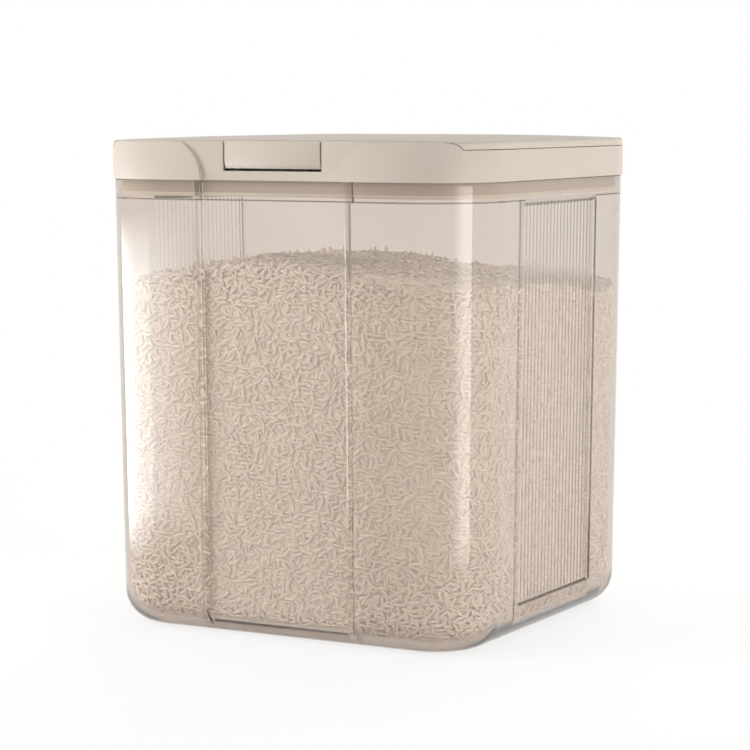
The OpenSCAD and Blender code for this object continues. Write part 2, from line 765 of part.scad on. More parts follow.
// Latch
module latch_slider() color(WHITE) {
    both_sides() box([arm_x, slider_y, slider_z], [arm_x + arm_w, bar_y + CUT, slider_z + arm_h]);
    box([-arm_x - arm_w, bar_y, slider_z], [arm_x + arm_w, bar_y + bar_t, slider_z + bar_h]);
    box([-hook_w / 2 - 2, bar_y, slider_z], [hook_w / 2 + 2, bar_y + bar_t, tower_z]);
    along_x(-hook_w / 2, hook_w / 2) polygon([
        [hook_tip_y, hook_z], [hook_tip_y, hook_z + 1], [bar_y, tower_z], [bar_y + CUT, tower_z], [bar_y + CUT, hook_z]
    ]);
    for (s = [-1, 1]) rod_y(bar_y + bar_t - 0.5, bar_y + bar_t + 1, s * latch_spring_gap / 2, spring_z, latch_peg_r());
}

function latch_peg_r() = latch_coil_r - latch_wire_r - 0.3;

module latch_housing() color(WHITE) difference() {
    rear = spring_back_y + guide_t;
    union() {
        box([-housing_half, slider_y + slider_travel + 0.5, housing_z], [housing_half, rear, housing_z + housing_floor_t]);
        box([-housing_half, spring_back_y, housing_z], [housing_half, rear, deck_z - 2]);
        both_sides() {
            box([housing_half - guide_t, slider_y - 0.6, housing_z], [housing_half, rear, post_z]);
            box([housing_half - guide_t, post_y - 4, post_z - 2], [post_x + 4, post_y + 4, post_z]);
        }
        for (s = [-1, 1]) rod_y(spring_back_y - 1, spring_back_y + 0.5, s * latch_spring_gap / 2, spring_z, latch_peg_r());
    }
    both_sides() translate([post_x, post_y, post_z - 3]) cylinder(r = screw_r + 0.3, h = 4);
}

module latch_housing_screws() color(STEEL) for (s = [-1, 1])
    screw(s * post_x, post_y, post_z - 2, screw_r, screw_head_r, screw_head_h, housing_screw_len);

function latch_path(x) =
    let (steps = latch_turns * RINGS_PER_TURN, run = spring_len - 2 * latch_wire_r - 0.1)
    [for (i = [0:steps]) [
        x + latch_coil_r * cos(360 * i / RINGS_PER_TURN),
        bar_y + bar_t + latch_wire_r + 0.05 + run * i / steps,
        spring_z + latch_coil_r * sin(360 * i / RINGS_PER_TURN)
    ]];

module latch_spring(side) color(STEEL) wire(latch_path(side * latch_spring_gap / 2), latch_wire_r, [0, 1, 0]);

// Hinge
module hinge_pin() color(STEEL) rod_x(pin_in, pin_out, hinge_y, hinge_z, hinge_pin_r);

module hinge_cover() color(BEIGE) intersection() {
    difference() {
        rod_x(ear_x + ear_t, ear_out - 3, hinge_y, hinge_z, barrel_r);
        rod_x(ear_x, ear_out, hinge_y, hinge_z, torsion_coil_r + torsion_wire_r + 0.35);
    }
    box([ear_x, hinge_y - 10, hinge_z - 1], [ear_out, hinge_y + 10, top_z + CUT]);
}

function torsion_x0() = ear_x + ear_t + 1.4;
function torsion_x1() = ear_out - 1.4;
function torsion_path() =
    let (steps = (torsion_turns + 0.25) * RINGS_PER_TURN, run = torsion_x1() - torsion_x0(), r = torsion_coil_r)
    concat(
        [[torsion_x0(), hinge_y + 6, hinge_z - r]],
        [for (i = [0:steps]) [
            torsion_x0() + run * i / steps,
            hinge_y - r * sin(360 * i / RINGS_PER_TURN),
            hinge_z - r * cos(360 * i / RINGS_PER_TURN)
        ]],
        [
            [torsion_x1(), hinge_y - r, hinge_z + 0.7 * r],
            [torsion_x1(), hinge_y - 1.3 * r, hinge_z + r],
            [torsion_x1(), hollow_rear - 0.6, hinge_z + r]
        ]
    );

module torsion_spring() color(STEEL) wire(torsion_path(), torsion_wire_r, [1, 0, 0]);

half_turn = RINGS_PER_TURN / 2;
echo(latch_spring_self_gap = self_gap(latch_path(0), latch_wire_r, half_turn));
echo(torsion_spring_self_gap = self_gap(torsion_path(), torsion_wire_r, half_turn));
echo(slider_travel = slider_travel, top_z = top_z, pivot = [pivot_y, pivot_z], hinge = [hinge_y, hinge_z]);

container();
lid_frame();
inner_collar();
collar_gasket();
collar_screws();
flip_lid_shell();
flip_lid_liner();
flip_lid_gasket();
lid_striker();
striker_screws();
press_button();
button_pin();
latch_slider();
latch_housing();
latch_housing_screws();
latch_spring(-1);  // latch_spring_left
latch_spring(1);  // latch_spring_right
mirror([1, 0, 0]) hinge_pin();  // hinge_pin_left
hinge_pin();  // hinge_pin_right
mirror([1, 0, 0]) hinge_cover();  // hinge_cover_left
hinge_cover();  // hinge_cover_right
mirror([1, 0, 0]) torsion_spring();  // torsion_spring_left
torsion_spring();  // torsion_spring_right
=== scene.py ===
import json
import math
import bpy
import bmesh
import numpy as np
from mathutils import Matrix, Vector


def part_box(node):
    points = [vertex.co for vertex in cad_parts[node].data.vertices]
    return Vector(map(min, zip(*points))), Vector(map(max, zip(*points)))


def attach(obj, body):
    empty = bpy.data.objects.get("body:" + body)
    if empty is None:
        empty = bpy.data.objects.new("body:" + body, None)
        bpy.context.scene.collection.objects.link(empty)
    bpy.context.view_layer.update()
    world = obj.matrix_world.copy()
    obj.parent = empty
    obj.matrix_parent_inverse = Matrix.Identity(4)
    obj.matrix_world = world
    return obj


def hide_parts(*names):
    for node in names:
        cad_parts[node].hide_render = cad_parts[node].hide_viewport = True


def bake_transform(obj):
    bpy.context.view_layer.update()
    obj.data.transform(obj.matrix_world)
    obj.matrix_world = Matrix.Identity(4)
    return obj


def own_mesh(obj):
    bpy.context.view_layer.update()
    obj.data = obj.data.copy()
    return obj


# Rice bin with a flip lid: clear body, moulded lid frame, flip plate, press button and the rice inside.
# Sizes are in millimetres until a piece is finished, and the front looks towards -Y.
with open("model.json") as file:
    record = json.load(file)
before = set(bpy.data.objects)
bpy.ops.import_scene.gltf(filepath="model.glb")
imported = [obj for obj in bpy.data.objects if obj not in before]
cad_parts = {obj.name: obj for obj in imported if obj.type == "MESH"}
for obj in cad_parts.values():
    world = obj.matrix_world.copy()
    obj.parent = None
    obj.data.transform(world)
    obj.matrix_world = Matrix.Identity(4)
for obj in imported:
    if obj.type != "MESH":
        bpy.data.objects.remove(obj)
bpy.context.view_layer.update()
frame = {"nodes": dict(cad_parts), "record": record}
nodes = frame["nodes"]
mm = 0.001
scene = bpy.context.scene

# Camera, at the photograph's own viewpoint
camera = {"lens": 124.18, "sensor": 36, "near": 0.05, "far": 50, "place": (0.717325, -1.29878, 0.290816),
          "yaw": -0.5038, "pitch": 0.1036, "roll": -0.0022}


def addCamera(spec):
    yaw, pitch, roll = spec["yaw"], spec["pitch"], spec["roll"]
    ahead = Vector((math.sin(yaw), math.cos(yaw), 0))
    side = Vector((math.cos(yaw), -math.sin(yaw), 0))
    rise = Vector((0, 0, 1))
    look = math.cos(pitch) * ahead - math.sin(pitch) * rise
    above = math.sin(pitch) * ahead + math.cos(pitch) * rise
    right = math.cos(roll) * side + math.sin(roll) * above
    up = -math.sin(roll) * side + math.cos(roll) * above
    data = bpy.data.cameras.new("camera")
    data.lens, data.sensor_width = spec["lens"], spec["sensor"]
    data.clip_start, data.clip_end = spec["near"], spec["far"]
    thing = bpy.data.objects.new("camera", data)
    thing.matrix_world = Matrix.Translation(spec["place"]) @ Matrix((right, up, -look)).transposed().to_4x4()
    scene.collection.objects.link(thing)
    scene.camera = thing


addCamera(camera)
print("camera set")


# Node trees, with sums of sockets
class Wire:  # one socket of a node tree, for use in sums and products
    def __init__(self, finish, socket):
        self.finish, self.socket = finish, socket

    def sum(self, operation, first, second):
        return self.finish.node("ShaderNodeMath", {"operation": operation}, {0: first, 1: second})

    def __add__(self, other):
        return self.sum("ADD", self, other)

    def __mul__(self, other):
        return self.sum("MULTIPLY", self, other)

    def over(self, other):  # the larger of the two
        return self.sum("MAXIMUM", self, other)


class Finish:  # the node tree of one material, or of the world
    def __init__(self, owner):
        owner.use_nodes = True
        self.owner, self.tree = owner, owner.node_tree
        self.tree.nodes.clear()

    def node(self, kind, settings=None, inputs=None, out=0):
        made = self.tree.nodes.new(kind)
        for name, value in (settings or {}).items():
            setattr(made, name, value)
        for name, value in (inputs or {}).items():
            if isinstance(value, Wire):
                self.tree.links.new(value.socket, made.inputs[name])
            else:
                made.inputs[name].default_value = value
        return Wire(self, made.outputs[out])

    def here(self):
        return self.node("ShaderNodeTexCoord", out="Object")

    def stretch(self, scale):
        return self.node("ShaderNodeMapping", None, {"Vector": self.here(), "Scale": scale})

    def ray(self, kind):  # 1 for rays of that kind
        return self.node("ShaderNodeLightPath", out=f"Is {kind} Ray")

    def straight(self):  # 1 for what the camera sees, also by gloss or through the clear body
        return self.ray("Camera").over(self.ray("Glossy").over(self.ray("Transmission")))

    def noise(self, scale, detail=2.0, rough=0.5, vector=None):
        return self.node("ShaderNodeTexNoise", None, {
            "Vector": vector or self.here(), "Scale": scale, "Detail": detail, "Roughness": rough})

    def between(self, factor, low, high, first=0.0, last=1.0):  # maps a factor's first..last onto low..high
        return self.node("ShaderNodeMapRange", {"clamp": True}, {
            "Value": factor, "From Min": first, "From Max": last, "To Min": low, "To Max": high})

    def blend(self, factor, first, second):
        return self.node("ShaderNodeMix", {"data_type": "RGBA"}, {
            0: factor, 6: (*first, 1) if isinstance(first, tuple) else first,
            7: (*second, 1) if isinstance(second, tuple) else second}, out=2)

    def bump(self, height, strength, distance):
        return self.node("ShaderNodeBump", None, {
            "Height": height, "Strength": strength, "Distance": distance})

    def principled(self, inputs):
        return self.node("ShaderNodeBsdfPrincipled", None, inputs)

    def close(self, shader, kind="ShaderNodeOutputMaterial", volume=None):
        made = self.tree.nodes.new(kind)
        self.tree.links.new(shader.socket, made.inputs["Surface"])
        if volume:
            self.tree.links.new(volume.socket, made.inputs["Volume"])
        return self.owner


def newFinish(name):
    return Finish(bpy.data.materials.new(name))


# Materials
clearLook = {"tint": (0.99, 0.985, 0.98), "deep": (0.98, 0.972, 0.963), "shade": (0.99, 0.985, 0.98),
             "ior": 1.49, "clarity": 0.94, "through": (0.553, 0.407, 0.267), "density": 135.0}


def clearPlastic(spec):
    made = newFinish("clear_plastic")
    flow = made.noise(14.0, 1.0)
    haze = made.noise(55.0, 3.0, 0.6)
    waves = made.bump(made.noise(22.0, 1.0), 0.10, 0.0006)
    body = made.principled({
        "Base Color": made.blend(flow, spec["tint"], spec["deep"]),
        "Roughness": made.between(haze, 0.0, 0.03, 0.35, 0.75),
        "IOR": spec["ior"], "Transmission Weight": spec["clarity"], "Normal": waves})
    through = made.node("ShaderNodeBsdfTransparent", None, {"Color": (*spec["shade"], 1)})
    either = made.ray("Shadow").over(made.ray("Diffuse"))
    smoke = made.node("ShaderNodeVolumeAbsorption", None, {
        "Color": (*spec["through"], 1), "Density": spec["density"]})
    return made.close(made.node("ShaderNodeMixShader", None, {0: either, 1: body, 2: through}), volume=smoke)


def mouldedPlastic(name, light, dark, rough, grain, specular=0.5):
    made = newFinish(name)
    cloud = made.noise(9.0, 2.0)
    spark = made.noise(2300.0, 2.0, 0.6)
    rubbed = made.noise(1.0, 4.0, 0.65, made.stretch((260.0, 260.0, 900.0)))
    return made.close(made.principled({
        "Base Color": made.blend(cloud, light, dark),
        "Roughness": made.between(rubbed * 0.6 + cloud * 0.4, rough - 0.06, rough + 0.07, 0.3, 0.7),
        "Specular IOR Level": specular, "Normal": made.bump(spark, grain, 0.00006)}))


def silicone():
    made = newFinish("silicone")
    dust = made.noise(420.0, 3.0, 0.7)
    cloud = made.noise(25.0)
    return made.close(made.principled({
        "Base Color": made.blend(dust * 0.5 + cloud * 0.5, (0.86, 0.83, 0.78), (0.76, 0.73, 0.68)),
        "Roughness": made.between(dust, 0.48, 0.66), "Sheen Weight": 0.15,
        "Normal": made.bump(dust, 0.12, 0.0001)}))


def zincSteel():
    made = newFinish("zinc_steel")
    drawn = made.noise(1.0, 3.0, 0.6, made.stretch((400.0, 2600.0, 2600.0)))
    spots = made.noise(700.0, 2.0)
    return made.close(made.principled({
        "Base Color": made.blend(spots, (0.66, 0.67, 0.69), (0.50, 0.51, 0.54)),
        "Metallic": 1.0, "Roughness": made.between(drawn, 0.24, 0.44),
        "Normal": made.bump(drawn, 0.10, 0.00005)}))


def riceSkin(name, pale, warm, dark, rough, shine):
    made = newFinish(name)
    tone = made.node("ShaderNodeAttribute", {"attribute_name": "tone"}, out="Fac")
    chalk = made.noise(620.0, 2.0)
    skin = made.blend(made.between(tone, 0.0, 1.0, 0.15, 0.85), warm, pale)
    skin = made.blend(made.between(chalk, 0.0, 0.45, 0.45, 0.75), skin, dark)
    return made.close(made.principled({
        "Base Color": skin, "Roughness": made.between(chalk, rough, rough + 0.15),
        "Specular IOR Level": shine, "Normal": made.bump(chalk, 0.15, 0.0001)}))


def riceDepths():
    made = newFinish("rice_depths")
    cells = made.node("ShaderNodeTexVoronoi", {"feature": "F1"}, {
        "Vector": made.stretch((300.0, 300.0, 420.0)), "Scale": 1.0, "Randomness": 1.0}, out="Distance")
    cloud = made.noise(60.0)
    return made.close(made.principled({
        "Base Color": made.blend(made.between(cells + cloud * 0.3, 0.0, 1.0, 0.2, 0.95),
                                 (0.98, 0.94, 0.89), (0.94, 0.87, 0.79)),
        "Roughness": 0.6, "Normal": made.bump(cells, 0.25, 0.0005)}))


looks = {
    "clear_plastic": clearPlastic(clearLook),
    "beige_plastic": mouldedPlastic("beige_plastic", (0.565, 0.507, 0.448), (0.54, 0.485, 0.428),
                                    0.5, 0.08, 0.28),
    "silicone": silicone(),
    "white_plastic": mouldedPlastic("white_plastic", (0.84, 0.83, 0.80), (0.79, 0.78, 0.75), 0.36, 0.08),
    "steel": zincSteel(),
    "rice": riceSkin("rice", (0.99, 0.965, 0.93), (0.96, 0.90, 0.84), (0.93, 0.85, 0.77), 0.28, 0.6),
    # The heap's grains: the rice drawn in lighter colours and glossier, which is painted light on the top of
    # the rice that lies in the lid's shade
    "heap": riceSkin("heap", (0.995, 0.98, 0.95), (0.98, 0.94, 0.89), (0.96, 0.90, 0.83), 0.18, 1.0),
    "depths": riceDepths(),
}
print("materials made")


# Mesh helpers
def finishPiece(bm, name, look, body, replaced=(), sharpAngle=None, merge=None):
    if merge:
        bmesh.ops.remove_doubles(bm, verts=bm.verts, dist=merge)
        bmesh.ops.recalc_face_normals(bm, faces=bm.faces)
    bmesh.ops.scale(bm, vec=(mm, mm, mm), verts=bm.verts)
    mesh = bpy.data.meshes.new(name)
    bm.to_mesh(mesh)
    bm.free()
    return addPiece(mesh, name, look, body, replaced, sharpAngle)


def addPiece(mesh, name, look, body, replaced=(), sharpAngle=None):
    mesh.materials.clear()
    mesh.materials.append(looks[look])
    mesh.polygons.foreach_set("use_smooth", [True] * len(mesh.polygons))
    if sharpAngle:
        mesh.set_sharp_from_angle(angle=math.radians(sharpAngle))
    piece = bpy.data.objects.new(name, mesh)
    scene.collection.objects.link(piece)
    if isinstance(body, str):
        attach(piece, body)
    else:
        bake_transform(piece)
    if replaced:
        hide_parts(*replaced)
    return piece


def ease(value, low, high):  # smooth step from 0 at low to 1 at high
    t = np.clip((np.asarray(value, float) - low) / (high - low), 0, 1)
    return t * t * (3 - 2 * t)


def plateau(along, half, soft):  # 1 inside half, 0 outside, with rounded corners soft wide
    return ease(half + soft / 2 - np.abs(along), 0, soft)


def edgeStops(half, soft):  # stations that draw such a step with its rounded corners
    steps = np.array([-2.2, -1.1, -0.5, -0.3, -0.12, 0, 0.12, 0.3, 0.5, 1.1, 2.2]) * soft
    return [side * half + s for side in (-1, 1) for s in steps]


farAlong = 1e3  # stands for no place on any run, in a corner


def plan(halfX, halfY, radius, frontStops, sideStops, backStops, cornerSteps=16):
    # Stations round a rounded rectangle from the front left, each with its place, its outward direction,
    # its run (0 front, 1 right, 2 back, 3 left, -1 a corner) and its coordinate along the run
    outline = {"place": [], "outward": [], "run": [], "along": []}

    def note(*values):
        for column, value in zip(outline.values(), values):
            column.append(value)

    runs = [
        (sorted(frontStops), lambda t: (t, -halfY), (0, -1), halfX - radius, (1, -1)),
        (sorted(sideStops), lambda t: (halfX, t), (1, 0), halfY - radius, (1, 1)),
        (sorted(backStops, reverse=True), lambda t: (t, halfY), (0, 1), halfX - radius, (-1, 1)),
        (sorted(sideStops, reverse=True), lambda t: (-halfX, t), (-1, 0), halfY - radius, (-1, -1)),
    ]
    for index, (stops, put, facing, reach, corner) in enumerate(runs):
        for t in [s for s in stops if abs(s) < reach]:
            note(put(t), facing, index, t)
        centre = (corner[0] * (halfX - radius), corner[1] * (halfY - radius))
        start = math.atan2(facing[1], facing[0])
        for step in range(cornerSteps + 1):
            turn = start + step / cornerSteps * math.pi / 2
            way = (math.cos(turn), math.sin(turn))
            note((centre[0] + radius * way[0], centre[1] + radius * way[1]), way, -1, farAlong)
    return {name: np.array(column) for name, column in outline.items()}


def ringAt(outline, inset):
    return outline["place"] - outline["outward"] * np.reshape(inset, (-1, 1))


def loft(bm, levels):  # a closed skin; levels hold the stations' places and their height
    count = len(levels[0][0])
    station = bm.verts.layers.int.new("station")
    verts = bmesh.ops.create_circle(bm, segments=count, radius=1)["verts"]
    for index, vert in enumerate(verts):
        vert[station] = index
    edges = list({edge for vert in verts for edge in vert.link_edges})
    first = list(edges)

    def settle(verts, places, heights):
        heights = np.broadcast_to(heights, (count,))
        for vert in verts:
            index = vert[station]
            vert.co = (places[index][0], places[index][1], heights[index])

    settle(verts, *levels[0])
    for places, heights in levels[1:]:
        grown = bmesh.ops.extrude_edge_only(bm, edges=edges)["geom"]
        verts = {item for item in grown if isinstance(item, bmesh.types.BMVert)}
        edges = [item for item in grown if isinstance(item, bmesh.types.BMEdge) and set(item.verts) <= verts]
        settle(verts, places, heights)
    for loop in (first, edges):
        bmesh.ops.contextual_create(bm, geom=loop)


def carve(piece, cutter):  # takes the cutter's volume out of the piece, and removes the cutter
    cut = piece.modifiers.new("carve", "BOOLEAN")
    cut.operation, cut.object, cut.solver = "DIFFERENCE", cutter, "EXACT"
    made = bpy.data.meshes.new_from_object(piece.evaluated_get(bpy.context.evaluated_depsgraph_get()))
    piece.modifiers.clear()
    piece.data = made
    bpy.data.objects.remove(cutter)


def rawObject(bm, name):
    bmesh.ops.recalc_face_normals(bm, faces=bm.faces)
    mesh = bpy.data.meshes.new(name)
    bm.to_mesh(mesh)
    bm.free()
    thing = bpy.data.objects.new(name, mesh)
    scene.collection.objects.link(thing)
    return thing


def addBox(bm, low, high):
    middle = [(a + b) / 2 for a, b in zip(low, high)]
    size = [b - a for a, b in zip(low, high)]
    made = bmesh.ops.create_cube(bm, size=1)["verts"]
    bmesh.ops.scale(bm, vec=size, verts=made)
    bmesh.ops.translate(bm, vec=middle, verts=made)


def addRod(bm, x0, x1, y, z, radius, segments):
    made = bmesh.ops.create_cone(bm, cap_ends=True, segments=segments, radius1=radius, radius2=radius,
                                 depth=x1 - x0)["verts"]
    bmesh.ops.rotate(bm, matrix=Matrix.Rotation(math.pi / 2, 3, "Y"), verts=made)
    bmesh.ops.translate(bm, vec=((x0 + x1) / 2, y, z), verts=made)
    return made


# Clear body
bodySpec = {
    "halfX": 119, "halfY": 113, "radius": 40, "straight": 78, "height": 250.8, "taper": 3.6, "wall": 2.8,
    "floor": 4, "floorStart": 1.5, "floorMiddle": 4, "foot": 18, "bendSteps": 12, "pocket": 1.2, "ring": 9,
    "rim": 255.2, "neckInset": 1.6, "neckWall": 1.8, "neckDepth": 14.5,
    "recessHalf": 43.8, "recessSlope": 2, "recessDepth": 3.0, "notchHalf": 47.3, "notchDepth": 2.3,
    "panelHalf": 46, "panelSlope": 1.4, "panelDepth": 1.8, "panelSill": 1.2, "panelTop": 240.5,
    "panelRamp": 3,
    # the wall behind the panels, and how far the steps inside stand beyond those outside
    "panelWall": 2.4, "behindRecess": 0.6, "behindPanel": 0.8,
    "flutes": 21, "fluteStops": 8, "rise": 0.2, "flutesFrom": 21,
    # how wide each step is with its rounded corners
    "softness": {"recess": 2.3, "notch": 1.4, "backOfNotch": 2.6, "backOfRecess": 1.6, "panel": 1.7,
                 "backOfPanel": 2.0},
    # insets of the rings that round an edge off, each with its height over or its depth under the edge
    "pocketEdge": ((4, 0), (0.6, 0), (0.15, 0.15), (0, 0.6)),
    "ringEdge": ((0, 0.4), (-0.15, 0.12), (-0.6, 0.0)),
    "shoulderEdge": ((0.08, 0.22), (0.3, 0)), "neckFoot": ((0.06, 0.1), (0, 0.3), (0, 1.0)),
    "rimEdge": ((0.6, 0), (0.25, 0.05), (0.05, 0.25), (0, 0.6), (0, 1.2)), "neckEnd": (0.6, 0.2, 0),
    "outsideLevels": (19.2, 19.8, 20.1, 20.4, 20.7, 21.0, 21.25, 21.5, 22.2, 60, 110, 160, 200, 230, 236.6,
                      237.5, 238.0, 238.6, 239.2, 239.8, 240.5, 241.1, 246, 249.4, 249.9),
    "insideLevels": (240.2, 239.9, 239.4, 238, 200, 160, 110, 60, 24, 20.4),
}


def frontSteps(b):  # half width of each step in the front wall
    return {
        "recess": b["recessHalf"] + b["recessSlope"] / 2,
        "notch": b["notchHalf"],
        "backOfNotch": b["notchHalf"] + b["neckWall"],
        "backOfRecess": b["recessHalf"] + b["panelWall"] + b["behindRecess"],
    }


def sideSteps(b):  # half width of each step in the side walls
    return {
        "panel": b["panelHalf"] + b["panelSlope"] / 2,
        "backOfPanel": b["panelHalf"] + b["panelWall"] + b["behindPanel"],
    }


def bodyPlan(b):
    pitch = 2 * b["panelHalf"] / b["flutes"]
    perFlute, reach = b["fluteStops"], b["straight"]
    front = list(np.linspace(-reach, reach, 27))
    for name, half in frontSteps(b).items():
        front += edgeStops(half, b["softness"][name])
    flutes = [pitch * (i / perFlute - b["flutes"] / 2) for i in range(perFlute * b["flutes"] + 1)]
    slope = b["panelHalf"] + b["panelSlope"] * np.array([0.1, 0.3, 0.5, 0.7, 0.9, 1.15, 1.45])
    back = edgeStops(sideSteps(b)["backOfPanel"], b["softness"]["backOfPanel"])
    side = [*flutes, *slope, *-slope, *back, 54, 62, 70, -54, -62, -70]
    return plan(b["halfX"], b["halfY"], b["radius"], front, side, np.linspace(-reach, reach, 13))


def drawnIn(b, z):
    return b["taper"] * (1 - np.asarray(z) / b["height"])


def bodyMasks(b, outline):
    onFront, onSide = outline["run"] == 0, (outline["run"] == 1) | (outline["run"] == 3)
    along = outline["along"]
    pitch = 2 * b["panelHalf"] / b["flutes"]
    masks = {}
    for wall, steps in ((onFront, frontSteps(b)), (onSide, sideSteps(b))):
        for name, half in steps.items():
            masks[name] = wall * plateau(along, half, b["softness"][name])
    half = b["panelHalf"]
    masks["wave"] = onSide * (np.abs(along) <= half) * np.sin(np.pi * (along + half) / pitch) ** 2
    return masks


def outerInset(b, masks, z, foot=0.0):
    start, end = b["flutesFrom"], b["panelTop"]
    reach = ease(z, start - b["panelSill"], start) * (1 - ease(z, end - b["panelRamp"], end))
    wave = masks["wave"] * b["rise"] * ease(z, start, start + 0.5) * (1 - ease(z, end - 2.2, end - 0.4))
    pressed = b["recessDepth"] * masks["recess"] + b["panelDepth"] * masks["panel"] * reach - wave
    # the recess runs softly into the foot
    return drawnIn(b, z) + (foot ** 4 + np.maximum(pressed, 0) ** 4) ** 0.25


def innerInset(b, masks, z, foot=0.0):
    recess = (b["recessDepth"] + b["panelWall"] - b["wall"]) * masks["backOfRecess"]
    panel = (b["panelDepth"] + b["panelWall"] - b["wall"]) * masks["backOfPanel"]
    return drawnIn(b, z) + b["wall"] + np.maximum(foot, recess + panel)


def bodyLevels(b, outline, masks):
    levels = []

    def add(inset, z):
        levels.append((ringAt(outline, inset), z))

    pocket = b["taper"] + b["foot"] + b["ring"]
    for inset, deep in b["pocketEdge"]:
        add(pocket + inset, b["pocket"] - deep)
    for inset, z in b["ringEdge"]:
        add(pocket + inset, z)
    for step in range(b["bendSteps"] + 1):
        turn = step / b["bendSteps"] * math.pi / 2
        z = b["foot"] * (1 - math.cos(turn))
        add(outerInset(b, masks, z, b["foot"] * (1 - math.sin(turn))), z)
    for z in b["outsideLevels"]:
        add(outerInset(b, masks, z), z)
    shoulder = outerInset(b, masks, b["height"])
    neck = b["neckInset"] + b["notchDepth"] * masks["notch"]
    for inset, deep in b["shoulderEdge"]:
        add(shoulder + inset, b["height"] - deep)
    add(np.maximum(neck - 0.3, shoulder + 0.45), b["height"])
    for inset, z in b["neckFoot"]:
        add(neck + inset, b["height"] + z)
    for inset, deep in reversed(b["rimEdge"]):
        add(neck + inset, b["rim"] - deep)
    inside = b["neckInset"] + b["neckWall"] + b["notchDepth"] * masks["backOfNotch"]
    for inset, deep in b["rimEdge"]:
        add(inside - inset, b["rim"] - deep)
    for z in b["neckEnd"]:
        add(inside, b["rim"] - (b["neckDepth"] - z))
    for z in b["insideLevels"]:
        add(innerInset(b, masks, z), z)
    bend = b["foot"] - b["wall"]
    for step in range(b["bendSteps"], -1, -1):
        turn = step / b["bendSteps"] * math.pi / 2
        z = b["floor"] + bend * (1 - math.cos(turn))
        add(innerInset(b, masks, z, bend * (1 - math.sin(turn))), z)
    add(drawnIn(b, b["floor"]) + b["wall"] + bend + b["floorStart"], b["floor"])
    add(pocket + b["floorMiddle"], b["floor"])
    return levels


bodyOutline = bodyPlan(bodySpec)
bodyMask = bodyMasks(bodySpec, bodyOutline)
bm = bmesh.new()
loft(bm, bodyLevels(bodySpec, bodyOutline, bodyMask))
finishPiece(bm, "bin_body", "clear_plastic", "container", ["container"])
print("clear body lofted")

# Rice
riceSpec = {
    # a grain: its size, how much wider and how bowed it is than a ball drawn out to that size
    "length": 6.9, "width": 1.95, "thick": 1.35, "widen": 1.12, "bow": 0.16, "bowAt": 3.4,
    # how the grains lie: range of sizes, roll, leaning towards level, and how far tilted ones are sunk
    "seed": 11, "sizes": (0.82, 1.08), "roll": 0.3, "level": 0.22, "sink": 3.3,
    # layers of grains: square millimetres for each grain, depth and tilt, and how much the depth varies
    "walls": {"outer": (9.0, 0.8, 0.10), "inner": (14.0, 1.3, 0.10)}, "wallVaries": 0.7,
    "tops": ((11.5, 0.2, 0.36), (13.0, 2.2, 0.25)), "topVaries": 1.2,
    "base": (12.0, 1.1, 0.08), "baseVaries": 0.6, "baseStart": 77,
    # grains on the walls, which are laid out at mid height: their reach from over the floor to under the heap
    "midHeight": 100.0, "overFloor": 1.0, "wallHeight": 204, "underTop": 0.6, "jitter": 0.5,
    "countHeight": 200, "bendDepth": 0.5,
    # outlines of the heap's top, which keeps clear of the recess and the panels, and of the base
    "topInset": 3.6, "topCorner": (36, 34.5), "clearOfRecess": (47, 106.2), "clearOfPanels": (49, 112.8),
    "baseHalf": (98, 92), "baseCorner": (76, 70, 22),
    # the plain body behind the grains: heights and foot of its rings, then the rings' shares of the top one
    "behind": 1.8, "bodyTop": 190.0, "bodyUnder": 2.4,
    "bodyRings": ((7.6, 11.0), (8.6, 8.0), (11, 5.0), (15, 2.2), (20, 0.8),
                  (60, 0.0), (120, 0.0), (175, 0.0)),
    "bodyShares": (1.0, 0.92, 0.8, 0.65, 0.5, 0.35, 0.2, 0.08),
    # points of the heap's surface, and how softly it runs between them
    "soften": 60.0, "falloff": 1.6,
    "heap": [(-92, -111, 192), (-79, -111, 197), (-66, -111, 201), (-46, -111, 204), (-21, -111, 207),
             (5, -111, 208), (27, -111, 204), (38, -111, 202), (48, -111, 198), (78, -111, 196),
             (101, -104, 195.5), (117, -73, 195), (117, -51, 195), (117, 3, 193), (117, 57, 187),
             (117, 74, 186.5), (95, 111, 190), (66, 111, 193), (39, 111, 195), (7, 111, 196),
             (-14, 111, 200), (-42, 111, 202), (-81, 111, 202), (-106, 105, 200), (-117, 50, 199),
             (-117, -50, 196), (-112, -95, 189), (0, 0, 205), (-50, 0, 206), (50, 20, 198), (-20, -60, 207),
             (60, -60, 198)],
}


def heapHeight(spec, x, y):  # height of the rice, from the heap's points
    points = np.array(spec["heap"], float)
    gap = (np.reshape(x, (-1, 1)) - points[:, 0]) ** 2 + (np.reshape(y, (-1, 1)) - points[:, 1]) ** 2
    weight = 1 / (gap + spec["soften"]) ** spec["falloff"]
    return (weight * points[:, 2]).sum(1) / weight.sum(1)


def grainShape(spec):  # one grain of rice along X
    bm = bmesh.new()
    bmesh.ops.create_uvsphere(bm, u_segments=5, v_segments=4, radius=0.5)
    bmesh.ops.rotate(bm, matrix=Matrix.Rotation(math.pi / 2, 3, "Y"), verts=bm.verts)
    bmesh.ops.scale(bm, vec=(spec["length"], spec["width"], spec["thick"]), verts=bm.verts)
    for vert in bm.verts:
        vert.co.y *= spec["widen"]
        vert.co.z += spec["bow"] * (vert.co.x / spec["bowAt"]) ** 2
    bmesh.ops.triangulate(bm, faces=bm.faces)
    verts = np.array([v.co for v in bm.verts])
    faces = np.array([[v.index for v in f.verts] for f in bm.faces])
    bm.free()
    return verts, faces


def unitRows(rows):
    return rows / np.linalg.norm(rows, axis=1, keepdims=True)


